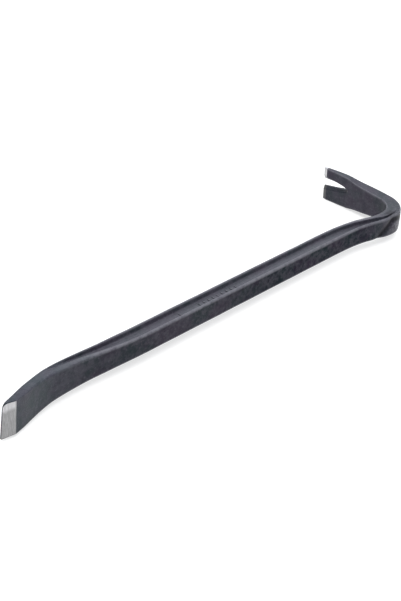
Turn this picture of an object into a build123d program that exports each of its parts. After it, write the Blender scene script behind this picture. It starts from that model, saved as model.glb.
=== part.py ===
from build123d import *
import os

# Pry bar lying on its side, in millimetres. It is drawn with x along the shank from the cutting edge,
# y across the shank towards the claw, and z = 0 on the plane that halves the bar's width.
# The finished pieces are then moved so that the origin is on the ground under the middle of the bar.

# Overall sizes
LENGTH = 600.0
CLAW_REACH = 102.2

# Shank: an I-section with one channel in its top side and one in its bottom side
SHANK_WIDTH = 21.6
SHANK_THICKNESS = 19.7
SHANK_START = 187.5
SHANK_END = 471.0
LONG_EDGE_RADIUS = 1.6
FLANGE = 3.1
CHANNEL_DEPTH = 4.6
CHANNEL_START = 73.0
CHANNEL_END = 562.0

# Chisel end. The bevel is ground on a slant: each slant is how far x moves for each millimetre of z.
BEVEL_NEAR = (16.2, -17.9)
BEVEL_FAR = (13.9, -10.4)
EDGE_NEAR = (2.2, -14.9)
EDGE_FAR = (2.2, -14.3)
BEVEL_SLANT = 0.047
EDGE_SLANT = 0.122
BLADE_SLOPE = 0.3
EDGE_CORNER_RADII = (1.2, 3.6)
BLADE_WIDTH = 35.8
BLADE_END = 68.0
NECK_END = 165.0

# Heel and bend
HEEL_START = 500.0
HEEL_Y = -20.0
HEEL_RADIUS = 34.6
HEEL_WIDTH = 25.4
BEND_INNER_X = 585.3
BEND_INNER_Y = -5.1
BEND_INNER_RADIUS = 23.6

# Claw. Its tips are ground thin on the inner face, and the end is cut on a slant.
CLAW_START_Y = 22.0
CLAW_OUTER_TIP_X = 590.9
CLAW_TIP_THICKNESS = 3.5
CLAW_TIP_WIDTH = 40.2
CLAW_END_ANGLE = -4.1
GROUND_TIP_LENGTH = 4.0
GROUND_TIP_DEPTH = 1.0

# Nail slot: a V right through the claw, and a wider V that opens its edges on the inner face.
# Each is given where it crosses two planes: (x, half of its mouth, y of its root).
SLOT_MOUTH_Y = CLAW_REACH + 2.0
SLOT_MOUTH_Z = 1.4
SLOT_ROOT_Z = 3.0
SLOT_BELLY = 0.76
SLOT_INNER = (584.0, 5.2, 63.0)
SLOT_OUTER = (599.0, 4.2, 71.0)
SLOT_CHAMFER_BELLY = 0.7
SLOT_CHAMFER_INNER = (585.5, 9.2, 62.5)
SLOT_CHAMFER_OUTER = (592.5, 4.4, 69.0)

# Raised dashes on the floor of the top channel: one by itself, then a row
LONE_DASH_X = 236.4
DASH_START_X = 265.0
DASH_PITCH = 6.6
DASH_COUNT = 9
DASH_SIZE = (1.6, 5.0, 0.5)

HALF_THICKNESS = SHANK_THICKNESS / 2
CHANNEL_FLOOR_Z = SHANK_WIDTH / 2 - CHANNEL_DEPTH
BEYOND = 40.0
AHEAD = 10.0
NEAR_TANGENT_SLOPE = 0.24
FAR_TANGENT_SLOPE = 0.34
ACROSS_CLAW = Plane(origin=(0, 0, 0), x_dir=(0, 1, 0), z_dir=(1, 0, 0))
HEEL_TANGENT_X = LENGTH - HEEL_RADIUS
HEEL_TANGENT_Y = HEEL_Y + HEEL_RADIUS
BEND_TANGENT_X = BEND_INNER_X - BEND_INNER_RADIUS
BEND_TANGENT_Y = BEND_INNER_Y + BEND_INNER_RADIUS
CLAW_END = Pos(CLAW_OUTER_TIP_X, CLAW_REACH, CLAW_TIP_WIDTH / 2) * Rot(X=CLAW_END_ANGLE)


def box_between(low, high):
    """A box from its lowest corner to its highest corner."""
    size = [b - a for a, b in zip(low, high)]
    return Pos(*low) * Box(*size, align=(Align.MIN, Align.MIN, Align.MIN))


def slanted_corners(near, far, slant):
    """The corners of the chisel's slanted cross-section through two plan points."""
    half_blade = BLADE_WIDTH / 2
    corners = [(near, half_blade), (far, half_blade), (far, -half_blade), (near, -half_blade)]
    return [(x + slant * z, y + BLADE_SLOPE * slant * z, z) for (x, y), z in corners]


def region(x_low, x_high, y_low=-BEYOND, y_high=BEYOND):
    """A box over one stretch of the bar, as high as the bar is wide."""
    return box_between((x_low, y_low, -BEYOND), (x_high, y_high, BEYOND))


def near_side(offset=0.0):
    """The shank's side away from the claw, from the bevel to the heel, moved inwards by offset."""
    blade = Spline(
        (BEVEL_NEAR[0], BEVEL_NEAR[1] + offset), (40.4, -11.7 + offset), (66.2, -6.4 + offset),
        (101, -5.1 + offset), (132.8, -6.9 + offset), (SHANK_START, -HALF_THICKNESS + offset),
        tangents=[(1, NEAR_TANGENT_SLOPE), (1, 0)],
    )
    shank = Line(blade @ 1, (HEEL_START, -HALF_THICKNESS + offset))
    dip = Spline(
        shank @ 1, (528.4, -13.9 + offset), (546, -18.2 + offset), (HEEL_TANGENT_X, HEEL_Y + offset),
        tangents=[(1, 0), (1, 0)],
    )
    return [blade, shank, dip]


def far_side(offset=0.0):
    """The shank's side towards the claw, from the bend back to the bevel, moved inwards by offset."""
    dip = Spline(
        (BEND_TANGENT_X, BEND_INNER_Y - offset), (546, -2.7 - offset), (523, 4.3 - offset),
        (497, 8.5 - offset), (SHANK_END, HALF_THICKNESS - offset),
        tangents=[(-1, 0), (-1, 0)],
    )
    shank = Line(dip @ 1, (SHANK_START, HALF_THICKNESS - offset))
    blade = Spline(
        shank @ 1, (115, 8.8 - offset), (84, 8.0 - offset), (64, 5.5 - offset),
        (37.6, -2.1 - offset), (BEVEL_FAR[0], BEVEL_FAR[1] - offset),
        tangents=[(-1, 0), (-1, -FAR_TANGENT_SLOPE)],
    )
    return [dip, shank, blade]


def plan_face():
    """The bar seen from above, from a little ahead of the bevel's root to the claw tips."""
    near = near_side()
    heel = TangentArc(near[-1] @ 1, (LENGTH, HEEL_TANGENT_Y), tangent=(1, 0))
    outer = Spline(
        heel @ 1, (599.2, 36), (596.5, 65), (CLAW_OUTER_TIP_X, CLAW_REACH),
        tangents=[(0, 1), (-0.2, 1)],
    )
    tip = Line(outer @ 1, (CLAW_OUTER_TIP_X - CLAW_TIP_THICKNESS, CLAW_REACH))
    inner = Spline(
        tip @ 1, (587.2, 70), (586.2, 52), (BEND_INNER_X, BEND_TANGENT_Y),
        tangents=[(0, -1), (0, -1)],
    )
    far = far_side()
    bend = TangentArc(inner @ 1, far[0] @ 0, tangent=(0, -1))
    ahead_far = (BEVEL_FAR[0] - AHEAD, BEVEL_FAR[1] - AHEAD * FAR_TANGENT_SLOPE)
    ahead_near = (BEVEL_NEAR[0] - AHEAD, BEVEL_NEAR[1] - AHEAD * NEAR_TANGENT_SLOPE)
    ahead = Polyline(far[-1] @ 1, ahead_far, ahead_near, near[0] @ 0)
    return make_face(near + [heel, outer, tip, inner, bend] + far + [ahead])


def shank_width_face():
    """The width of the chisel, the shank and the heel, seen from the side."""
    half_blade = BLADE_WIDTH / 2
    half_shank = SHANK_WIDTH / 2
    half_heel = HEEL_WIDTH / 2
    blade = Line((0, half_blade), (BEVEL_NEAR[0], half_blade))
    flare = Spline(
        blade @ 1, (66.2, 15.9), (101, 14), (132.8, 12.3), (SHANK_START, half_shank),
        tangents=[(1, 0), (1, 0)],
    )
    straight = Line(flare @ 1, (HEEL_START, half_shank))
    swell = Spline(straight @ 1, (HEEL_TANGENT_X, half_heel), tangents=[(1, 0), (1, 0)])
    heel = Line(swell @ 1, (LENGTH, half_heel))
    half = [blade, flare, straight, swell, heel]
    below = [mirror(line, Plane.XZ) for line in half]
    stations = ((0, half_blade), (LENGTH, half_heel))
    ends = [Line((x, -half_width), (x, half_width)) for x, half_width in stations]
    return make_face(half + below + ends)


def claw_width_face():
    """The width of the claw, seen from its back, as (y, z)."""
    half_heel = HEEL_WIDTH / 2
    half_tip = CLAW_TIP_WIDTH / 2
    side = Spline(
        (0, half_heel), (27, 14.9), (47, 16.6), (75, 19.3), (CLAW_REACH, half_tip),
        tangents=[(1, 0.05), (1, 0)],
    )
    start = Line((-BEYOND, half_heel), side @ 0)
    half = [start, side]
    below = [mirror(line, Plane.XZ) for line in half]
    stations = ((-BEYOND, half_heel), (CLAW_REACH, half_tip))
    ends = [Line((y, -half_width), (y, half_width)) for y, half_width in stations]
    return make_face(half + below + ends)


def channel_cutter():
    """The channel in the top side: it follows the shank and runs out at both ends."""
    near = near_side(FLANGE)
    far = far_side(FLANGE)
    plan = make_face(near + [Line(near[-1] @ 1, far[0] @ 0)] + far + [Line(far[-1] @ 1, near[0] @ 0)])
    block = extrude(plan, BEYOND)
    floor = [
        Spline((CHANNEL_START, 16.2), (NECK_END, CHANNEL_FLOOR_Z), tangents=[(1, -0.13), (1, 0)]),
        Line((NECK_END, CHANNEL_FLOOR_Z), (HEEL_START, CHANNEL_FLOOR_Z)),
        Spline((HEEL_START, CHANNEL_FLOOR_Z), (CHANNEL_END, 13.0), tangents=[(1, 0), (1, 0.2)]),
        Polyline((CHANNEL_END, 13.0), (CHANNEL_END, BEYOND), (CHANNEL_START, BEYOND), (CHANNEL_START, 16.2)),
    ]
    return block & extrude(Plane.XZ * make_face(floor), BEYOND, both=True)


def slot_outline(x, half_mouth, root_y, belly):
    """One V of the nail slot where the plane at x cuts it, with sides that curve in to the root."""
    middle_y = (root_y + SLOT_MOUTH_Y) / 2
    middle_z = (SLOT_ROOT_Z + SLOT_MOUTH_Z) / 2
    upper = Spline(
        (SLOT_MOUTH_Y, SLOT_MOUTH_Z + half_mouth), (middle_y, middle_z + belly * half_mouth), (root_y, SLOT_ROOT_Z)
    )
    lower = Spline(
        (SLOT_MOUTH_Y, SLOT_MOUTH_Z - half_mouth), (middle_y, middle_z - belly * half_mouth), (root_y, SLOT_ROOT_Z)
    )
    mouth = Line(upper @ 0, lower @ 0)
    return ACROSS_CLAW.offset(x) * make_face([upper, lower, mouth])


def slot_cutters():
    """The nail slot and the chamfer along its edges."""
    through = [slot_outline(*plane, SLOT_BELLY) for plane in (SLOT_INNER, SLOT_OUTER)]
    chamfer = [slot_outline(*plane, SLOT_CHAMFER_BELLY) for plane in (SLOT_CHAMFER_INNER, SLOT_CHAMFER_OUTER)]
    return [loft(through, ruled=True), loft(chamfer, ruled=True)]


def is_long_edge(edge):
    """True for an edge that runs along the bar, which the forging dies leave rounded."""
    size = edge.bounding_box().size
    upright = size.X < 0.01 and size.Y < 0.01
    return edge.length > 8 and not upright


def tip_box(start):
    """A box over the claw's slanted end: it starts that far short of the tips."""
    box = box_between((-BEYOND, -start, -3 * BEYOND), (BEYOND, BEYOND, BEYOND))
    return CLAW_END * box


def tip_grinding():
    """What grinding takes off the inner face at the claw tips."""
    inner_x = -CLAW_TIP_THICKNESS
    ground = Polyline(
        (inner_x, -GROUND_TIP_LENGTH), (inner_x + GROUND_TIP_DEPTH, 0), (inner_x + GROUND_TIP_DEPTH, BEYOND),
        (-BEYOND, BEYOND), (-BEYOND, -GROUND_TIP_LENGTH), close=True,
    )
    return CLAW_END * extrude(Pos(0, 0, -2 * BEYOND) * make_face(ground), 3 * BEYOND)


def forging():
    """The bar in one piece but for its cutting edge, before it is divided into its named regions."""
    blank = extrude(Pos(0, 0, -BEYOND) * plan_face(), 2 * BEYOND)
    bar_sides = extrude(Plane.XZ.offset(-3 * BEYOND) * shank_width_face(), 6 * BEYOND)
    claw_sides = extrude(ACROSS_CLAW * claw_width_face(), LENGTH + BEYOND)
    claw_side = region(BEND_TANGENT_X - FLANGE, LENGTH + BEYOND, 0, CLAW_REACH + BEYOND)
    rough = (blank & bar_sides) - claw_side + (blank & claw_sides & claw_side)
    rounded = fillet(rough.edges().filter_by(is_long_edge), LONG_EDGE_RADIUS)
    channel = channel_cutter()
    return rounded - [channel, mirror(channel, Plane.XY), *slot_cutters(), tip_box(0), tip_grinding()]


def bevel_root_box():
    """A box over the chisel's end, up to the slanted section where the bevel starts."""
    corners = slanted_corners(BEVEL_NEAR, BEVEL_FAR, BEVEL_SLANT)
    across = Vector(*corners[1]) - Vector(*corners[0])
    down = Vector(*corners[3]) - Vector(*corners[0])
    section = Plane(origin=corners[0], x_dir=across, z_dir=across.cross(down))
    return section.location * Box(3 * BEYOND, 4 * BEYOND, BEYOND, align=(Align.CENTER, Align.CENTER, Align.MIN))


def chisel_edge():
    """The ground wedge, from the bevel's root to the cutting edge, with the edge's corners rounded."""
    sections = [(BEVEL_NEAR, BEVEL_FAR, BEVEL_SLANT), (EDGE_NEAR, EDGE_FAR, EDGE_SLANT)]
    faces = [make_face(Polyline(*slanted_corners(*section), close=True)) for section in sections]
    half_blade = BLADE_WIDTH / 2
    slant = EDGE_SLANT * half_blade
    side = Polyline(
        (EDGE_NEAR[0] - slant, -half_blade), (EDGE_NEAR[0] + slant, half_blade),
        (BEYOND, half_blade), (BEYOND, -half_blade), close=True,
    )
    side_face = make_face(side)
    for corner, radius in zip((Vector(*side @ 0), Vector(EDGE_NEAR[0] + slant, half_blade)), EDGE_CORNER_RADII):
        side_face = fillet(side_face.vertices().sort_by_distance(corner)[0], radius)
    return loft(faces, ruled=True) & extrude(Plane.XZ.offset(-3 * BEYOND) * side_face, 6 * BEYOND)


def dashes():
    """The raised dashes across the floor of the top channel."""
    dash = Box(*DASH_SIZE, align=(Align.MIN, Align.CENTER, Align.MIN))
    starts = [LONE_DASH_X] + [DASH_START_X + i * DASH_PITCH for i in range(DASH_COUNT)]
    return Part() + [Pos(x, 0, CHANNEL_FLOOR_Z) * dash for x in starts]


REGIONS = {
    "chisel_blade": region(-BEYOND, BLADE_END),
    "chisel_neck": region(BLADE_END, NECK_END),
    "shank": region(NECK_END, HEEL_START),
    "heel_bend": region(HEEL_START, LENGTH + BEYOND, y_high=CLAW_START_Y),
    "claw": region(HEEL_START, LENGTH + BEYOND, CLAW_START_Y, CLAW_REACH + BEYOND) - tip_box(GROUND_TIP_LENGTH),
    "claw_tips": tip_box(GROUND_TIP_LENGTH),
}
TO_FRAME = Pos(-LENGTH / 2, -(CLAW_REACH + HEEL_Y) / 2, CLAW_TIP_WIDTH / 2)

os.makedirs("parts", exist_ok=True)
bar = forging() - bevel_root_box()
pieces = {name: bar & box for name, box in REGIONS.items()}
pieces["chisel_edge"] = chisel_edge()
pieces["channel_dashes"] = dashes()
for name, piece in pieces.items():
    export_step(TO_FRAME * piece, f"parts/{name}.step")
    print(f"{name}: {len(piece.solids())} solids, {piece.volume:.0f} mm3")
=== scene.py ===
import math

import bmesh
import bpy
import numpy as np
from mathutils import Matrix, Vector, noise


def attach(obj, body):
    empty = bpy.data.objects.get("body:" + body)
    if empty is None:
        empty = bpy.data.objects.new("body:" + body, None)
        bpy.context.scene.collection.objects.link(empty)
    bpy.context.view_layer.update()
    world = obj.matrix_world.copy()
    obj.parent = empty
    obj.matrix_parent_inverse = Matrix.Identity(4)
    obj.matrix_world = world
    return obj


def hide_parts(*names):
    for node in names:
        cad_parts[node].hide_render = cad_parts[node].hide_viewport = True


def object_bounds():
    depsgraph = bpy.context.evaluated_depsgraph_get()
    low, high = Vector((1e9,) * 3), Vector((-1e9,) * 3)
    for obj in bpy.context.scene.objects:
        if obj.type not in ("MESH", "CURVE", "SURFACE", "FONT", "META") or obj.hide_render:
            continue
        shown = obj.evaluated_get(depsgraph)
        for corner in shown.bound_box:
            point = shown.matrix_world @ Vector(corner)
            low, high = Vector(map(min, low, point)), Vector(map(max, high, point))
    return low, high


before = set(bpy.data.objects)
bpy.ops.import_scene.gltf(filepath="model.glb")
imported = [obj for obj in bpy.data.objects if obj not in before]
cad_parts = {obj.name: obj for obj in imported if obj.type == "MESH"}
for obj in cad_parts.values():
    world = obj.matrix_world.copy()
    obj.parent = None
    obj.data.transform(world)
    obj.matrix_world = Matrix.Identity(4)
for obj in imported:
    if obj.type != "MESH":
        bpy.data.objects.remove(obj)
cad_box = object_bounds()

# The bar is drawn in millimetres: x along the shank from the cutting edge, y across it towards the claw,
# z = 0 on the plane that halves its width. to_frame turns that into the frame's metres.
MM = 0.001
EDGE_CORNER_X = cad_box[0][0]
CLAW_TIP_Y = cad_box[1][1]
MIDDLE_Z = (cad_box[0][2] + cad_box[1][2]) / 2
CLAW_REACH = 102.2

SECTION_STEP = 3.2
SUBDIVISIONS = 1

# Marks on the near side of the heel (where each is, how wide it is, and how far it stands out): a valley that
# leans across it and bulges, which the dies and the bending left, and a band of painted shade under its top
# edge. The valley is darkened with painted shade as well.
VALLEY_X, VALLEY_SLOPE, VALLEY_WIDTH, VALLEY_DEPTH = 554.0, 0.95, 5.6, 1.5
BAND_START, BAND_END, BAND_Z, BAND_WIDTH = 558.0, 588.0, 6.5, 3.2
BULGES = [((577.0, -17.0, 0.0), 12.0, 1.0), ((534.0, -15.5, -6.0), 6.5, 0.6)]


def to_frame(points):
    """Drawn millimetres to metres in the CAD frame."""
    points = np.asarray(points, float) * MM
    return points + np.array([EDGE_CORNER_X, CLAW_TIP_Y - CLAW_REACH * MM, MIDDLE_Z])


def heel_marks(points):
    """How much each drawn point lies in the heel's valley, in its painted shade and on each of its bulges."""
    x, y, z = points.T
    on_near_side = smooth_step((-y - 6.0) / 8.0) * smooth_step((x - 500.0) / 15.0)
    across = x - VALLEY_X - VALLEY_SLOPE * z
    valley = np.exp(-((across / VALLEY_WIDTH) ** 2)) * on_near_side
    # A band of painted shade under the heel's top edge, on its near side
    within = smooth_step((x - BAND_START) / 6.0) * (1 - smooth_step((x - BAND_END) / 8.0))
    band = np.exp(-(((z - BAND_Z) / BAND_WIDTH) ** 2)) * within * on_near_side
    bulges = []
    for middle, width, _ in BULGES:
        bulges.append(np.exp(-(np.sum((points - middle) ** 2, axis=1) / width**2)) * on_near_side)
    return valley, np.maximum(valley, band), bulges


def slanted(points):
    """Slants the chisel's end: its upper corner is further back than its lower one."""
    points = np.array(points, float)
    x, z = points[:, 0], points[:, 2]
    ahead = np.clip((ROOT_X - x) / (ROOT_X - EDGE_X), 0, 1)
    behind = 1 - smooth_step((x - ROOT_X) / SLANT_FADE)
    shift = z * np.where(x < ROOT_X, ROOT_SLANT + (EDGE_SLANT - ROOT_SLANT) * ahead, ROOT_SLANT * behind)
    points[:, 0] += shift
    points[:, 1] += BLADE_SLOPE * shift
    return points


# ---------------------------------------------------------------------------------------------------------
# The line of the bar
# ---------------------------------------------------------------------------------------------------------

# Chisel to bend. Each station is a cut across the bar: the near point and the far point of its outline from
# above, half its width, the channel's depth, the share of the thickness that each flange takes, the radius
# of its long edges on the near side, and the height of the lip along the far one.
BAR_STATIONS = [
    # near x, y      far x, y       width/2 depth near  far   radius lip
    (16.2, -17.9, 13.9, -10.4, 17.9, 0.0, 0.17, 0.17, 0.9, 0.0),
    (27.2, -15.4, 24.8, -6.6, 17.8, 0.0, 0.17, 0.17, 1.2, 0.0),
    (40.4, -11.7, 37.6, -2.1, 17.4, 0.0, 0.17, 0.17, 1.7, 0.0),
    (53.3, -8.7, 50.7, 2.0, 16.7, 0.0, 0.18, 0.17, 2.2, 0.0),
    (66.2, -6.4, 64.0, 5.5, 15.9, 0.2, 0.52, 0.16, 2.4, 0.0),
    (83.1, -5.3, 82.1, 7.9, 15.0, 1.9, 0.50, 0.16, 2.3, 0.0),
    (101.0, -5.1, 100.4, 8.6, 14.0, 3.1, 0.42, 0.16, 2.0, 0.0),
    (132.8, -6.9, 132.8, 9.1, 12.3, 4.2, 0.27, 0.16, 1.8, 0.0),
    (162.6, -9.0, 162.6, 9.7, 11.2, 4.5, 0.165, 0.155, 1.7, 0.0),
    (187.5, -9.85, 187.5, 9.85, 10.8, 4.6, 0.165, 0.155, 1.7, 0.0),
    (262.0, -9.85, 262.0, 9.85, 10.8, 4.6, 0.165, 0.155, 1.7, 0.0),
    (361.0, -9.85, 361.0, 9.85, 10.8, 4.6, 0.165, 0.155, 1.7, 0.0),
    (441.0, -9.85, 441.0, 9.85, 10.8, 4.6, 0.165, 0.155, 1.7, 0.0),
    (470.8, -9.85, 470.8, 9.8, 10.8, 4.6, 0.165, 0.16, 1.7, 0.0),
    (486.7, -9.9, 489.2, 9.2, 10.85, 4.6, 0.165, 0.18, 1.7, 0.0),
    (501.0, -10.2, 505.1, 7.5, 11.0, 4.6, 0.17, 0.20, 1.7, 0.0),
    (514.0, -11.1, 519.0, 5.2, 11.2, 4.5, 0.18, 0.24, 1.7, 0.0),
    (528.4, -13.4, 533.4, 1.5, 11.3, 4.2, 0.18, 0.31, 1.8, 0.0),
    (541.4, -16.7, 545.3, -2.5, 11.6, 3.5, 0.18, 0.38, 1.9, 0.3),
    (556.3, -19.5, 554.8, -4.5, 12.2, 2.3, 0.17, 0.58, 2.1, 1.1),
    (565.4, -20.0, 561.7, -5.1, 12.8, 0.9, 0.16, 0.74, 2.3, 1.3),
]
NEAR, FAR, HALF_WIDTH, DEPTH, NEAR_FLANGE, FAR_FLANGE, RADIUS, LIP = slice(0, 2), slice(2, 4), 4, 5, 6, 7, 8, 9
FAR_RADIUS_SHARE = 0.6
LIP_INSET, LIP_WIDTH = 3.4, 2.0

# The bend: two arcs that turn the bar's sides through a right angle
HEEL_CENTRE, HEEL_RADIUS = np.array([566.4, 14.6]), 34.6
BEND_CENTRE, BEND_RADIUS = np.array([561.7, 18.5]), 23.6
BEND_STEPS = 9
CLAW_BASE_HALF_WIDTH = 13.7

# The claw up to the root of the nail slot, as in BAR_STATIONS, with the outer face as near and the inner as far
CLAW_STATIONS = [
    (600.8, 23.0, 585.4, 28.0, 14.6, 0.0, 0.24, 0.5, 2.3, 0.0),
    (600.0, 40.0, 585.6, 41.0, 15.8, 0.0, 0.24, 0.4, 2.1, 0.0),
    (598.6, 56.5, 586.3, 54.5, 17.2, 0.0, 0.24, 0.3, 1.9, 0.0),
    (597.6, 65.0, 586.6, 60.0, 18.3, 0.0, 0.24, 0.2, 1.7, 0.0),
]

# The two prongs, either side of the nail slot
OUTER_ROOT_Y, INNER_ROOT_Y = 70.1, 63.6
PRONG_END_Y = 98.2
TIP_SLANT = 0.072
TIP_GRINDING = 1.0
END_SHARE = (PRONG_END_Y - OUTER_ROOT_Y) / (CLAW_REACH - OUTER_ROOT_Y)
PRONG_STEPS = 22
TIP_STEPS = 4
SLOT_OUTER_MOUTH, SLOT_INNER_MOUTH, SLOT_CHAMFER_MOUTH = 4.2, 4.8, 8.2
SLOT_OUTER_CURVE, SLOT_CURVE = 0.36, 0.5
SLOT_ROOT_Z, SLOT_MOUTH_Z = 3.0, 1.4
SLOT_WALL_STEPS = 7

# The raised bars on the channel's floor
DASH_XS = [236.4] + [265.0 + 6.6 * i for i in range(9)]
DASH_LENGTH, DASH_WIDTH, DASH_HEIGHT, DASH_FLOOR_Z = 1.6, 5.0, 0.65, 6.2

# The chisel's ground bevel. Its cutting edge runs on a slant, and the root of the bevel on a smaller one.
ROOT_X, EDGE_X, EDGE_Y, EDGE_THICKNESS = 16.2, 2.2, -14.6, 0.6
EDGE_SLANT, ROOT_SLANT, SLANT_FADE = 0.122, 0.047, 30.0
BLADE_SLOPE = 0.3
EDGE_CORNER_UPPER, EDGE_CORNER_LOWER = 5.2, 1.2
EDGE_STEPS = 11


def smooth_step(value):
    value = np.clip(value, 0.0, 1.0)
    return value * value * (3.0 - 2.0 * value)


def densify(stations):
    """Cuts every SECTION_STEP along a smooth curve through the stations, none of which overshoots."""
    stations = np.array(stations, float)
    middle = (stations[:, NEAR] + stations[:, FAR]) / 2
    along = np.concatenate([[0], np.cumsum(np.linalg.norm(np.diff(middle, axis=0), axis=1))])
    gaps = np.diff(along)[:, None]
    steps = np.diff(stations, axis=0) / gaps
    slopes = np.zeros_like(stations)
    slopes[0], slopes[-1] = steps[0], steps[-1]
    left, right = steps[:-1], steps[1:]
    weight = gaps[1:] / (gaps[:-1] + gaps[1:])
    slopes[1:-1] = weight * left + (1 - weight) * right
    flat = left * right <= 0
    slopes[1:-1][flat] = 0
    dense = []
    for i, gap in enumerate(gaps[:, 0]):
        count = max(1, round(gap / SECTION_STEP))
        for t in np.arange(count) / count:
            dense.append(
                (2 * t**3 - 3 * t**2 + 1) * stations[i] + (t**3 - 2 * t**2 + t) * gap * slopes[i]
                + (3 * t**2 - 2 * t**3) * stations[i + 1] + (t**3 - t**2) * gap * slopes[i + 1]
            )
    dense.append(stations[-1])
    return dense


def bend_stations():
    """Cuts round the bend, between the last of the bar and the first of the claw."""
    first, last = np.array(BAR_STATIONS[-1]), np.array(CLAW_STATIONS[0])
    cuts = []
    for i in range(1, BEND_STEPS + 1):
        share = i / BEND_STEPS
        angle = math.radians(-90 + 90 * share)
        cut = first + (last - first) * share
        outward = np.array([math.cos(angle), math.sin(angle)])
        cut[NEAR] = HEEL_CENTRE + HEEL_RADIUS * outward
        cut[FAR] = BEND_CENTRE + BEND_RADIUS * outward
        cut[HALF_WIDTH] = first[HALF_WIDTH] + (CLAW_BASE_HALF_WIDTH - first[HALF_WIDTH]) * share
        cut[DEPTH] = first[DEPTH] * max(0.0, 1 - 3 * share)
        cut[LIP] = first[LIP] * float(smooth_step(1 - 1.8 * share))
        cuts.append(cut)
    return cuts


# ---------------------------------------------------------------------------------------------------------
# One cut across the bar
# ---------------------------------------------------------------------------------------------------------

SIDE_SHARES = [0.0, 0.12, 0.25, 0.38, 0.5, 0.62, 0.74, 0.86, 0.95]
CORNER_ANGLES = [0.0, 22.5, 45.0, 67.5, 90.0]
WALL_SHARES = [-0.35, -0.12, 0.12, 0.35, 0.6, 0.85, 1.1]
WALL_RUN = 0.15
FLAT_SHARES = [0.33, 0.67]


def half_section(cut, slot_outer=0.0, slot_inner=0.0):
    """The upper half of one cut, from the near side's middle over the top to the far side's middle.

    Gives (distance from the near side, height). Where the nail slot is, the halves start at its edges."""
    thickness = float(np.linalg.norm(cut[FAR] - cut[NEAR]))
    half_width = cut[HALF_WIDTH]
    near_radius = min(cut[RADIUS], 0.42 * thickness)
    far_radius = FAR_RADIUS_SHARE * near_radius
    near = [(0.0, slot_outer + (half_width - near_radius - slot_outer) * share) for share in SIDE_SHARES]
    far = [(thickness, slot_inner + (half_width - far_radius - slot_inner) * share) for share in SIDE_SHARES]
    for angle in CORNER_ANGLES:
        back, up = 1 - math.cos(math.radians(angle)), 1 - math.sin(math.radians(angle))
        near.append((near_radius * back, half_width - near_radius * up))
        far.append((thickness - far_radius * back, half_width - far_radius * up))
    low, high = cut[NEAR_FLANGE] * thickness, (1 - cut[FAR_FLANGE]) * thickness
    run = min(WALL_RUN * thickness, 0.45 * (high - low))

    def top(distance):
        inside = smooth_step((distance - low) / run + 0.2) * smooth_step((high - distance) / run + 0.2)
        lip = cut[LIP] * math.exp(-(((thickness - distance - LIP_INSET) / LIP_WIDTH) ** 2))
        return (distance, half_width - cut[DEPTH] * float(inside) + lip)

    near_wall, far_wall = low + run * WALL_SHARES[0], high - run * WALL_SHARES[0]
    near_edge, far_edge = near_radius, thickness - far_radius
    near += [top(near_edge + (near_wall - near_edge) * share) for share in FLAT_SHARES]
    far += [top(far_edge + (far_wall - far_edge) * share) for share in FLAT_SHARES]
    near += [top(low + run * share) for share in WALL_SHARES]
    far += [top(high - run * share) for share in WALL_SHARES]
    return near + [top((low + high) / 2)] + far[::-1]


def lift(cut, flat):
    """Turns one cut's (distance, height) pairs into drawn points."""
    across = (cut[FAR] - cut[NEAR]) / np.linalg.norm(cut[FAR] - cut[NEAR])
    return [(*(cut[NEAR] + across * distance), height) for distance, height in flat]


HALF_COUNT = 2 * (len(SIDE_SHARES) + len(CORNER_ANGLES) + len(FLAT_SHARES) + len(WALL_SHARES)) + 1

# What each point of a cut belongs to: a long edge, worn and lightened with a painted highlight, the channel's
# floor, a side, or the darkened rim of a ground face. The lists below hold the first three, from the middle of
# a side to the channel's floor.
MARKS = ("edge", "channel", "side", "rim")
FULL_DEPTH = 4.6
SIDE_MARKS = [(0.0, 0.0, 1.0)] * (len(SIDE_SHARES) - 1) + [(0.2, 0.0, 0.9)]
CORNER_MARKS = [(0.6, 0.0, 0.6), (1.0, 0.0, 0.3), (1.0, 0.0, 0.0), (1.0, 0.0, 0.0), (0.8, 0.0, 0.0)]
FLAT_MARKS = [(0.95, 0.0, 0.0), (0.85, 0.0, 0.0)]
WALL_MARKS = [(0.6, 0.0, 0.0), (0.3, 0.0, 0.0), (0.0, 0.2, 0.0), (0.0, 0.5, 0.0), (0.0, 0.9, 0.0)]
WALL_MARKS += [(0.0, 1.0, 0.0), (0.0, 1.0, 0.0)]
HALF_MARKS = SIDE_MARKS + CORNER_MARKS + FLAT_MARKS + WALL_MARKS
HALF_MARKS = HALF_MARKS + [(0.0, 1.0, 0.0)] + HALF_MARKS[::-1]
RING_MARKS = HALF_MARKS + HALF_MARKS[-2:0:-1]


def ring_marks(cut):
    """The marks all round one cut. Only where there is a channel does it have a floor and worn flanges with a
    painted highlight.
    """
    share = float(cut[DEPTH]) / FULL_DEPTH
    marks = []
    for edge, channel, side in RING_MARKS:
        wear_and_highlight = edge if side or edge == 1.0 else edge * share
        marks.append((wear_and_highlight, channel * share, side, 0.0))
    return marks


def full_ring(cut, middle=0.0, lower_cut=None):
    """All round one cut: the upper half, then the lower half back to the near side."""
    upper = lift(cut, half_section(cut, middle, middle))
    below = cut if lower_cut is None else lower_cut
    lower = mirrored(lift(below, half_section(below, -middle, -middle)))
    return upper + lower[-2:0:-1]


def mirrored(points):
    return [(x, y, -z) for x, y, z in points]


# ---------------------------------------------------------------------------------------------------------
# Mesh building
# ---------------------------------------------------------------------------------------------------------

def forged_height(point):
    """How far the forged skin stands off its ideal surface at one place, in metres."""
    broad = noise.noise(point * 42.0)
    fine = noise.noise(point * 130.0 + Vector((7.0, 3.0, 5.0)))
    return MM * (0.13 * broad + 0.05 * fine)


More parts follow.
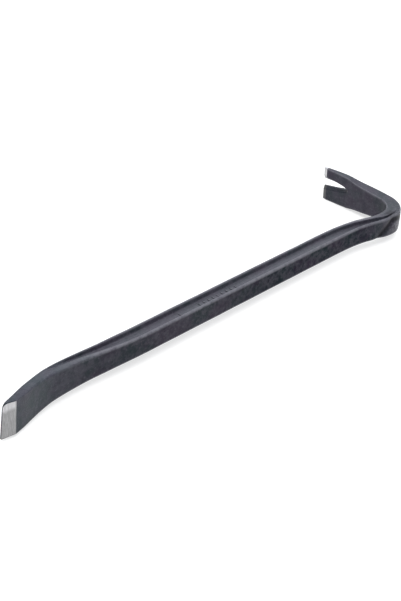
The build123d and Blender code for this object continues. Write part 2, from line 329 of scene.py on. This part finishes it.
class Shell:
    """Collects rings of points and the faces between them, then makes one closed mesh object."""

    def __init__(self):
        self.points = []
        self.marks = []
        self.faces = []
        self.groups = []
        self.creases = []

    def add(self, points, marks=None):
        """Adds points, each with its MARKS, and gives their numbers."""
        start = len(self.points)
        self.points += [tuple(p) for p in points]
        self.marks += marks or [(0.0, 0.0, 0.0, 0.0)] * len(points)
        return list(range(start, start + len(points)))

    def strip(self, ring_a, ring_b, group=0):
        """Joins two rings with a band of quads. The material group is one number, or one for each quad."""
        for i in range(len(ring_a)):
            j = (i + 1) % len(ring_a)
            self.faces.append((ring_a[i], ring_a[j], ring_b[j], ring_b[i]))
            self.groups.append(group[i] if isinstance(group, list) else group)

    def cap(self, ring, group=0):
        """Closes an end with quads across it, and keeps its rim sharp."""
        self.creases += [(ring[i], ring[(i + 1) % len(ring)]) for i in range(len(ring))]
        left, right = 0, len(ring) - 1
        while right - left > 1:
            if right - left == 2:
                self.faces.append((ring[left], ring[left + 1], ring[right]))
            else:
                self.faces.append((ring[left], ring[left + 1], ring[right - 1], ring[right]))
            self.groups.append(group)
            left, right = left + 1, right - 1

    def build(self, name, materials, forged=False):
        """Makes the mesh object. A forged piece gets the slight unevenness that the dies leave."""
        mesh = bpy.data.meshes.new(name)
        points = slanted(self.points)
        valley, shade, bulges = heel_marks(points)
        points[:, 1] += VALLEY_DEPTH * valley
        for bulge, (_, _, height) in zip(bulges, BULGES):
            points[:, 1] -= height * bulge
        mesh.from_pydata([Vector(p) for p in to_frame(points)], [], self.faces)
        piece = bpy.data.objects.new(name, mesh)
        bpy.context.scene.collection.objects.link(piece)
        for material in materials:
            mesh.materials.append(material)
        # The last two columns: the heel's painted shade, and its bulges, which get scuffs and a painted
        # highlight
        columns = [*np.array(self.marks, float).T, shade, bulges[0] + 0.25 * bulges[1]]
        for mark, column in zip((*MARKS, "shade", "scuffed_and_lit"), columns):
            layer = mesh.attributes.new(mark, "FLOAT", "POINT")
            layer.data.foreach_set("value", column)
        for polygon, group in zip(mesh.polygons, self.groups):
            polygon.material_index = group
            polygon.use_smooth = True
        shape = bmesh.new()
        shape.from_mesh(mesh)
        shape.verts.ensure_lookup_table()
        crease = shape.edges.layers.float.new("crease_edge")
        for a, b in self.creases:
            edge = shape.edges.get((shape.verts[a], shape.verts[b]))
            if edge:
                edge[crease] = 1.0
                edge.smooth = False
        bmesh.ops.recalc_face_normals(shape, faces=shape.faces)
        shape.normal_update()
        for vertex in shape.verts if forged else ():
            vertex.co += vertex.normal * forged_height(vertex.co)
        shape.to_mesh(mesh)
        shape.free()
        subdivision = piece.modifiers.new("smooth", "SUBSURF")
        subdivision.levels = subdivision.render_levels = SUBDIVISIONS
        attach(piece, "root")
        return piece


def slot_half_widths(outer_y, inner_y):
    """The nail slot's half widths at one cut: on the outer face, on the inner face and at its chamfer."""
    outer_share = max(0.0, (outer_y - OUTER_ROOT_Y) / (CLAW_REACH - OUTER_ROOT_Y))
    inner_share = max(0.0, (inner_y - INNER_ROOT_Y) / (CLAW_REACH - INNER_ROOT_Y))
    outer = SLOT_OUTER_MOUTH * outer_share**SLOT_OUTER_CURVE
    inner = SLOT_INNER_MOUTH * inner_share**SLOT_CURVE
    chamfer = SLOT_CHAMFER_MOUTH * inner_share**SLOT_CURVE
    return outer, inner, chamfer


def claw_outer_x(y):
    """The outer face of the prongs from above: a slight curve in towards the tip."""
    share = (y - 65.0) / (CLAW_REACH - 65.0)
    return 597.6 - 4.5 * share - 1.6 * share * share


def claw_inner_x(y):
    """The inner face of the prongs: a small step at the slot's root, then flat."""
    share = (y - 60.0) / (CLAW_REACH - 60.0)
    return 586.5 + 0.9 * smooth_step(share * 6)


def slot_middle(outer_y):
    """The nail slot isn't quite in the middle of the claw: its height above it at one cut."""
    if outer_y < OUTER_ROOT_Y:
        return SLOT_ROOT_Z * float(smooth_step((outer_y - 25.0) / (OUTER_ROOT_Y - 25.0)))
    share = (outer_y - OUTER_ROOT_Y) / (CLAW_REACH - OUTER_ROOT_Y)
    return SLOT_ROOT_Z + (SLOT_MOUTH_Z - SLOT_ROOT_Z) * share


def prong_cut(share):
    """One cut across the prongs, from the slot's root at 0 to the very tip at 1."""
    outer_y = OUTER_ROOT_Y + (CLAW_REACH - OUTER_ROOT_Y) * share
    inner_y = INNER_ROOT_Y + (CLAW_REACH - INNER_ROOT_Y) * share
    half_width = 18.95 + 1.15 * math.sin(math.pi / 2 * share**0.8)
    outer, inner = (claw_outer_x(outer_y), outer_y), (claw_inner_x(inner_y), inner_y)
    cut = np.array([*outer, *inner, half_width, 0.0, 0.24, 0.2, 1.5, 0.0])
    return cut, slot_half_widths(outer_y, inner_y)


def prong_ring(share, side, grinding=0.0):
    """One prong's half section, then its slot wall from the inner face back to the outer."""
    cut, (slot_outer, slot_wall, slot_inner) = prong_cut(share)
    offset = side * slot_middle(cut[1])
    flat = half_section(cut, slot_outer + offset, slot_inner + offset)
    half = np.array(lift(cut, flat))
    wall = []
    for i in range(1, SLOT_WALL_STEPS):
        step = 1 - i / SLOT_WALL_STEPS
        point = half[0] + (half[-1] - half[0]) * step
        flare = smooth_step((step - 0.3) / 0.7)
        point[2] = offset + slot_outer + (slot_wall - slot_outer) * step + (slot_inner - slot_wall) * flare
        wall.append(point)
    ring = np.concatenate([half, wall])
    depth = (cut[0] - ring[:, 0]) / (cut[0] - cut[2])
    ring[:, 0] += TIP_GRINDING * grinding * np.clip(depth, 0, 1)
    ring[:, 2] *= side
    ring[:, 1] += TIP_SLANT * (ring[:, 2] - cut[HALF_WIDTH]) * share
    return [tuple(p) for p in ring], len(half)


# ---------------------------------------------------------------------------------------------------------
# Materials
# ---------------------------------------------------------------------------------------------------------

# How shiny the lacquer is, how much of that the near side and the tops of both ends lose, and how strongly
# the wear and the painted highlight on its long edges show
LACQUER_SHEEN, SIDE_DULLING, TOP_DULLING, EDGE_WEAR_AND_HIGHLIGHT = 0.34, 0.22, 0.13, 0.85


class Nodes:
    """Short calls for building one node material."""

    def __init__(self, name):
        self.material = bpy.data.materials.new(name)
        self.material.use_nodes = True
        self.tree = self.material.node_tree
        self.shader = self.tree.nodes["Principled BSDF"]
        self.place = self.add("ShaderNodeTexCoord").outputs["Object"]

    def add(self, kind, **settings):
        node = self.tree.nodes.new(kind)
        for name, value in settings.items():
            setattr(node, name, value)
        return node

    def put(self, socket, value):
        if isinstance(value, bpy.types.NodeSocket):
            self.tree.links.new(value, socket)
        else:
            socket.default_value = value

    def math(self, operation, a, b=0.0, clamp=False):
        node = self.add("ShaderNodeMath", operation=operation, use_clamp=clamp)
        self.put(node.inputs[0], a)
        self.put(node.inputs[1], b)
        return node.outputs[0]

    def stretched(self, scale, offset=(0.0, 0.0, 0.0)):
        node = self.add("ShaderNodeMapping")
        self.put(node.inputs["Vector"], self.place)
        self.put(node.inputs["Scale"], scale)
        self.put(node.inputs["Location"], offset)
        return node.outputs[0]

    def noise(self, scale, detail=4.0, roughness=0.55, place=None, distortion=0.0):
        node = self.add("ShaderNodeTexNoise")
        self.put(node.inputs["Vector"], place or self.place)
        self.put(node.inputs["Scale"], scale)
        self.put(node.inputs["Detail"], detail)
        self.put(node.inputs["Roughness"], roughness)
        self.put(node.inputs["Distortion"], distortion)
        return node.outputs["Fac"]

    def remap(self, value, low, high, to_low=0.0, to_high=1.0):
        node = self.add("ShaderNodeMapRange", interpolation_type="SMOOTHSTEP")
        for socket, amount in zip(node.inputs[:5], (value, low, high, to_low, to_high)):
            self.put(socket, amount)
        return node.outputs[0]

    def mix(self, share, first, second):
        node = self.add("ShaderNodeMix", data_type="RGBA")
        self.put(node.inputs[0], share)
        self.put(node.inputs[6], first)
        self.put(node.inputs[7], second)
        return node.outputs[2]

    def mark(self, name):
        return self.add("ShaderNodeAttribute", attribute_name=name).outputs["Fac"]

    def bump(self, height, distance, strength=1.0, normal=None):
        node = self.add("ShaderNodeBump")
        self.put(node.inputs["Strength"], strength)
        self.put(node.inputs["Distance"], distance)
        self.put(node.inputs["Height"], height)
        if normal:
            self.put(node.inputs["Normal"], normal)
        return node.outputs[0]


def lacquer_material():
    """Satin blue-grey lacquer over a forged skin: mottled, thin and lightened with a painted highlight on the
    long edges, with painted shade and painted highlights on the heel, and dull on the sides.
    """
    n = Nodes("lacquer")
    patches = n.remap(n.noise(34.0, 3.0), 0.38, 0.62)
    clouds = n.noise(120.0, 5.0, 0.65)
    speckle = n.noise(400.0, 3.0, 0.6)
    violet, teal = (0.0190, 0.0145, 0.0260, 1), (0.0085, 0.0150, 0.0190, 1)
    color = n.mix(patches, violet, teal)
    color = n.mix(n.remap(clouds, 0.42, 0.64, 0.0, 0.75), color, (0.032, 0.031, 0.042, 1))
    color = n.mix(n.remap(speckle, 0.55, 0.70, 0.0, 0.55), color, (0.052, 0.051, 0.062, 1))
    color = n.mix(n.remap(speckle, 0.30, 0.42, 0.5, 0.0), color, (0.004, 0.004, 0.006, 1))
    separate = n.add("ShaderNodeSeparateXYZ")
    n.put(separate.inputs[0], n.place)
    x, y = separate.outputs[:2]
    # Lighter long edges: worn lacquer and a painted highlight along the edges' rounding, weaker towards the
    # chisel
    thin = n.remap(n.noise(140.0, 4.0, 0.6), 0.30, 0.60, 0.45, 1.0)
    wear_and_highlight = n.math("MULTIPLY", n.mark("edge"), n.math("MULTIPLY", thin, n.remap(x, -0.24, -0.16, 0.25, 1.0)))
    color = n.mix(n.math("MULTIPLY", n.mark("channel"), 0.40), color, (0.042, 0.042, 0.052, 1))
    # Speckled lightening on the heel's bulges: scuffed lacquer and a painted highlight
    scuffs_and_highlight = n.math("MULTIPLY", n.mark("scuffed_and_lit"), n.remap(speckle, 0.44, 0.56))
    color = n.mix(n.math("MULTIPLY", scuffs_and_highlight, 0.9), color, (0.130, 0.128, 0.145, 1))
    # Painted shade: the heel's valley and the band under its top edge are darkened
    shade = n.mark("shade")
    color = n.mix(n.math("MULTIPLY", shade, 0.90), color, (0.0030, 0.0028, 0.0042, 1))
    color = n.mix(n.math("MULTIPLY", wear_and_highlight, EDGE_WEAR_AND_HIGHLIGHT), color, (0.112, 0.112, 0.128, 1))
    n.put(n.shader.inputs["Base Color"], color)
    roughness = n.math("ADD", n.remap(clouds, 0.3, 0.7, 0.33, 0.47), n.math("MULTIPLY", wear_and_highlight, 0.06))
    n.put(n.shader.inputs["Roughness"], roughness)
    side = n.mark("side")
    away = n.math("ADD", n.remap(x, -0.32, -0.13), n.remap(x, -0.06, 0.08, 0.0, 0.34))
    away = n.math("SUBTRACT", away, n.remap(x, 0.21, 0.27, 0.0, 0.90))
    near = n.remap(y, -0.036, -0.012, 1.0, 0.0)
    dulled = n.math("MULTIPLY", n.math("MULTIPLY", side, away), n.math("MULTIPLY", near, SIDE_DULLING))
    at_heel = n.math("ADD", n.remap(x, 0.20, 0.27), n.remap(x, -0.26, -0.22, 0.4, 0.0))
    not_side = n.math("SUBTRACT", n.math("SUBTRACT", 1.0, side), wear_and_highlight, clamp=True)
    dulled = n.math("ADD", dulled, n.math("MULTIPLY", n.math("MULTIPLY", at_heel, not_side), TOP_DULLING))
    dulled = n.math("ADD", dulled, n.math("MULTIPLY", shade, 0.13))
    dulled = n.math("ADD", dulled, n.remap(clouds, 0.35, 0.62, 0.035, -0.02))
    n.put(n.shader.inputs["Specular IOR Level"], n.math("SUBTRACT", LACQUER_SHEEN, dulled, clamp=True))
    tint = n.mix(n.remap(x, -0.25, -0.17), (0.74, 0.86, 1.0, 1), (0.87, 0.84, 1.0, 1))
    n.put(n.shader.inputs["Specular Tint"], tint)
    hammered = n.bump(n.noise(90.0, 3.0, 0.5), 0.0008, 0.3)
    grain = n.bump(n.noise(500.0, 4.0, 0.6), 0.00025, 0.7, hammered)
    n.put(n.shader.inputs["Normal"], grain)
    return n.material


def ground_material():
    """Bare steel from the grinding belt: fine lines across the bevel, and a painted highlight towards the top
    corner.
    """
    n = Nodes("ground_steel")
    coarse = n.noise(1.0, 3.0, 0.6, n.stretched((420.0, 420.0, 22.0)))
    lines = n.noise(1.0, 4.0, 0.7, n.stretched((2600.0, 2600.0, 70.0), (3.0, 1.0, 0.0)))
    separate = n.add("ShaderNodeSeparateXYZ")
    n.put(separate.inputs[0], n.place)
    # Painted highlight: the bevel is lighter towards its top corner, with a wavy border
    height = n.math("ADD", separate.outputs[2], n.math("MULTIPLY", n.noise(120.0, 2.0), 0.004))
    top_highlight = n.remap(height, MIDDLE_Z + 0.0095, MIDDLE_Z + 0.0145)
    color = n.mix(top_highlight, (0.235, 0.235, 0.237, 1), (0.49, 0.485, 0.498, 1))
    color = n.mix(n.remap(coarse, 0.35, 0.68, 0.0, 0.5), color, (0.21, 0.21, 0.213, 1))
    color = n.mix(n.remap(lines, 0.40, 0.70, 0.0, 0.35), color, (0.70, 0.70, 0.71, 1))
    # The rim mark darkens the ground face to near black and takes its metal away: the cutting edge and the
    # lower prong's tip
    darkened_rim = n.math("MULTIPLY", n.mark("rim"), n.remap(coarse, 0.25, 0.6, 0.75, 1.0))
    color = n.mix(darkened_rim, color, (0.010, 0.010, 0.012, 1))
    n.put(n.shader.inputs["Base Color"], color)
    n.put(n.shader.inputs["Metallic"], n.math("SUBTRACT", 1.0, darkened_rim, clamp=True))
    n.put(n.shader.inputs["Roughness"], n.remap(lines, 0.3, 0.7, 0.34, 0.50))
    n.put(n.shader.inputs["Normal"], n.bump(lines, 0.00006, 0.6))
    return n.material


def floor_material():
    """A light table: matt white, lit a little from within, and very slightly uneven in tone."""
    n = Nodes("floor")
    n.put(n.shader.inputs["Base Color"], n.mix(n.noise(1.5, 2.0), (0.44, 0.44, 0.44, 1), (0.46, 0.46, 0.46, 1)))
    n.put(n.shader.inputs["Emission Color"], (1, 1, 1, 1))
    n.put(n.shader.inputs["Emission Strength"], 0.62)
    n.put(n.shader.inputs["Roughness"], 0.95)
    n.put(n.shader.inputs["Specular IOR Level"], 0.1)
    return n.material


lacquer = lacquer_material()
ground = ground_material()


# ---------------------------------------------------------------------------------------------------------
# Pieces
# ---------------------------------------------------------------------------------------------------------

def make_forging():
    """The lacquered forging: chisel blade, neck, shank, heel and claw, in one closed skin."""
    shell = Shell()
    cuts = densify(BAR_STATIONS) + bend_stations()[:-1]
    cuts += densify([bend_stations()[-1]] + CLAW_STATIONS)
    root_cut, _ = prong_cut(0.0)
    cuts.append((np.array(CLAW_STATIONS[-1]) + root_cut) / 2)
    rings = [shell.add(full_ring(cut, slot_middle(cut[1])), ring_marks(cut)) for cut in cuts]
    shell.cap(rings[0])
    for ring_a, ring_b in zip(rings, rings[1:]):
        shell.strip(ring_a, ring_b)

    points, half_count = prong_ring(0.0, 1)
    half_marks = ring_marks(root_cut)[:HALF_COUNT]
    marks = half_marks + [(0.1, 0.0, 0.6, 0.0)] * (len(points) - half_count)
    upper = shell.add(points, marks)
    half, wall = upper[:half_count], upper[half_count:]
    lower_points, _ = prong_ring(0.0, -1)
    lower_half = [half[0]] + shell.add(lower_points[1:half_count - 1], half_marks[1:-1]) + [half[-1]]
    shell.strip(rings[-1], half + lower_half[-2:0:-1])
    rows = {1: half + wall, -1: lower_half + wall}
    for i in range(1, PRONG_STEPS + 1):
        share = END_SHARE * (i / PRONG_STEPS) ** 1.5
        for side in rows:
            points, _ = prong_ring(share, side)
            ring = shell.add(points, marks)
            shell.strip(rows[side], ring)
            rows[side] = ring
    for ring in rows.values():
        shell.cap(ring)
    return shell.build("forging", [lacquer], forged=True)


def make_tips():
    """The bare ends of the two prongs, ground thin on the inner face."""
    pieces = []
    for name, side in (("claw_tip_upper", 1), ("claw_tip_lower", -1)):
        shell = Shell()
        rows = []
        for i in range(TIP_STEPS + 1):
            step = i / TIP_STEPS
            points, _ = prong_ring(END_SHARE + (1 - END_SHARE) * step, side, step)
            rows.append(shell.add(points, [(0.0, 0.0, 0.0, 0.0 if side > 0 else 0.85)] * len(points)))
        for ring_a, ring_b in zip(rows, rows[1:]):
            shell.strip(ring_a, ring_b)
        shell.cap(rows[0])
        shell.cap(rows[-1])
        pieces.append(shell.build(name, [ground]))
    return pieces


def corner_inset(reach, radius):
    """How far a rounded corner of the cutting edge comes in, at one distance behind the edge."""
    return radius - math.sqrt(max(0.0, radius**2 - max(0.0, radius - reach) ** 2))


def make_chisel_edge():
    """The ground wedge at the chisel's tip: a bare bevel on the near side, lacquer on the others."""
    shell = Shell()
    start = np.array(BAR_STATIONS[0], float)
    rings = []
    for i in range(EDGE_STEPS + 1):
        share = (i / EDGE_STEPS) ** 0.7
        upper = start.copy()
        upper[NEAR] += (np.array([EDGE_X, EDGE_Y - EDGE_THICKNESS / 2]) - start[NEAR]) * share
        upper[FAR] += (np.array([EDGE_X, EDGE_Y + EDGE_THICKNESS / 2]) - start[FAR]) * share
        reach = (upper[0] + upper[2]) / 2 - EDGE_X
        lower = upper.copy()
        upper[HALF_WIDTH] -= corner_inset(reach, EDGE_CORNER_UPPER)
        lower[HALF_WIDTH] -= corner_inset(reach, EDGE_CORNER_LOWER)
        rim = 1.0 if i == EDGE_STEPS else 0.0
        marks = [(0.0, 0.0, side, rim) for _, _, side in RING_MARKS]
        rings.append(shell.add(full_ring(upper, 0.0, lower), marks))
    bare = len(SIDE_SHARES) + 1
    groups = [0 if i < bare or i >= 2 * HALF_COUNT - 2 - bare else 1 for i in range(2 * HALF_COUNT - 2)]
    for ring_a, ring_b in zip(rings, rings[1:]):
        shell.strip(ring_a, ring_b, group=groups)
    shell.cap(rings[0], group=1)
    shell.cap(rings[-1], group=1)
    return shell.build("chisel_edge", [ground, lacquer])


def make_dashes():
    """The row of small raised bars on the channel's floor."""
    shell = Shell()
    for x in DASH_XS:
        rings = []
        # The top ring carries the edge mark: a lighter top, worn lacquer with a painted highlight
        for height, inset, wear_and_highlight in ((-0.5, 0.0, 0.0), (0.25, 0.0, 0.0), (DASH_HEIGHT, 0.35, 1.0)):
            along, across = DASH_LENGTH / 2 - inset, DASH_WIDTH / 2 - inset
            corners = [(-along, -across), (along, -across), (along, across), (-along, across)]
            points = [(x + DASH_LENGTH / 2 + dx, dy, DASH_FLOOR_Z + height) for dx, dy in corners]
            rings.append(shell.add(points, [(wear_and_highlight, 0.0, 0.0, 0.0)] * 4))
        for ring_a, ring_b in zip(rings, rings[1:]):
            shell.strip(ring_a, ring_b)
        shell.cap(rings[0])
        shell.cap(rings[-1])
    return shell.build("dashes", [lacquer])


forging = make_forging()
chisel_edge = make_chisel_edge()
tips = make_tips()
dashes = make_dashes()

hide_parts("chisel_blade", "chisel_neck", "shank", "heel_bend", "claw")
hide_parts("chisel_edge")
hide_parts("channel_dashes")
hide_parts("claw_tips")


# ---------------------------------------------------------------------------------------------------------
# Stage
# ---------------------------------------------------------------------------------------------------------

def make_floor():
    mesh = bpy.data.meshes.new("floor")
    reach = 40.0
    corners = [(-reach, -reach, 0), (reach, -reach, 0), (reach, reach, 0), (-reach, reach, 0)]
    mesh.from_pydata(corners, [], [(0, 1, 2, 3)])
    floor = bpy.data.objects.new("floor", mesh)
    bpy.context.scene.collection.objects.link(floor)
    floor.location.z = min(cad_box[0][2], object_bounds()[0][2])
    mesh.materials.append(floor_material())


def area_light(name, position, target, size, power, color=(1, 1, 1)):
    light = bpy.data.lights.new(name, "AREA")
    light.shape = "RECTANGLE"
    light.size, light.size_y = size
    light.energy = power
    light.color = color
    lamp = bpy.data.objects.new(name, light)
    bpy.context.scene.collection.objects.link(lamp)
    lamp.location = position
    lamp.rotation_euler = (Vector(target) - Vector(position)).to_track_quat("-Z", "Y").to_euler()


# The camera looks over the side away from the claw, from the chisel's end
CAMERA_TARGET = (314.6, 42.2, -28.5)
CAMERA_DISTANCE = 1.380
CAMERA_HEADING, CAMERA_ELEVATION, CAMERA_ROLL = 41.61, 31.50, 3.98
SENSOR = 36.0
LENS = 78.35


def make_camera():
    heading, elevation = math.radians(CAMERA_HEADING), math.radians(CAMERA_ELEVATION)
    look = Vector((
        math.cos(elevation) * math.cos(heading), math.cos(elevation) * math.sin(heading), -math.sin(elevation)
    ))
    data = bpy.data.cameras.new("camera")
    data.sensor_width = SENSOR
    data.lens = LENS
    data.clip_end = 50
    camera = bpy.data.objects.new("camera", data)
    bpy.context.scene.collection.objects.link(camera)
    turn = look.to_track_quat("-Z", "Y").to_matrix().to_4x4()
    turn = turn @ Matrix.Rotation(math.radians(CAMERA_ROLL), 4, "Z")
    target = Vector(to_frame(CAMERA_TARGET))
    camera.matrix_world = Matrix.Translation(target - look * CAMERA_DISTANCE) @ turn
    bpy.context.scene.camera = camera


WORLD_LIGHT = 0.50


def make_world():
    world = bpy.data.worlds.new("world")
    world.use_nodes = True
    world.node_tree.nodes["Background"].inputs["Color"].default_value = (0.97, 0.985, 1, 1)
    world.node_tree.nodes["Background"].inputs["Strength"].default_value = WORLD_LIGHT
    bpy.context.scene.world = world


def make_lights():
    """A broad softbox overhead, one low behind the bar for the top faces' sheen, and one for the near edges."""
    area_light("overhead", (0.1, 0.1, 1.9), (0, 0, 0), (2.4, 2.4), 54)
    area_light("behind", (1.55, 1.35, 1.30), (0, 0, 0), (1.7, 1.3), 15, (0.90, 0.94, 1.0))
    area_light("side", (1.30, -1.05, 1.15), (0, 0, 0), (0.9, 0.9), 9, (0.92, 0.95, 1.0))


make_floor()
make_world()
make_lights()
make_camera()
bpy.context.scene.view_settings.view_transform = "Standard"
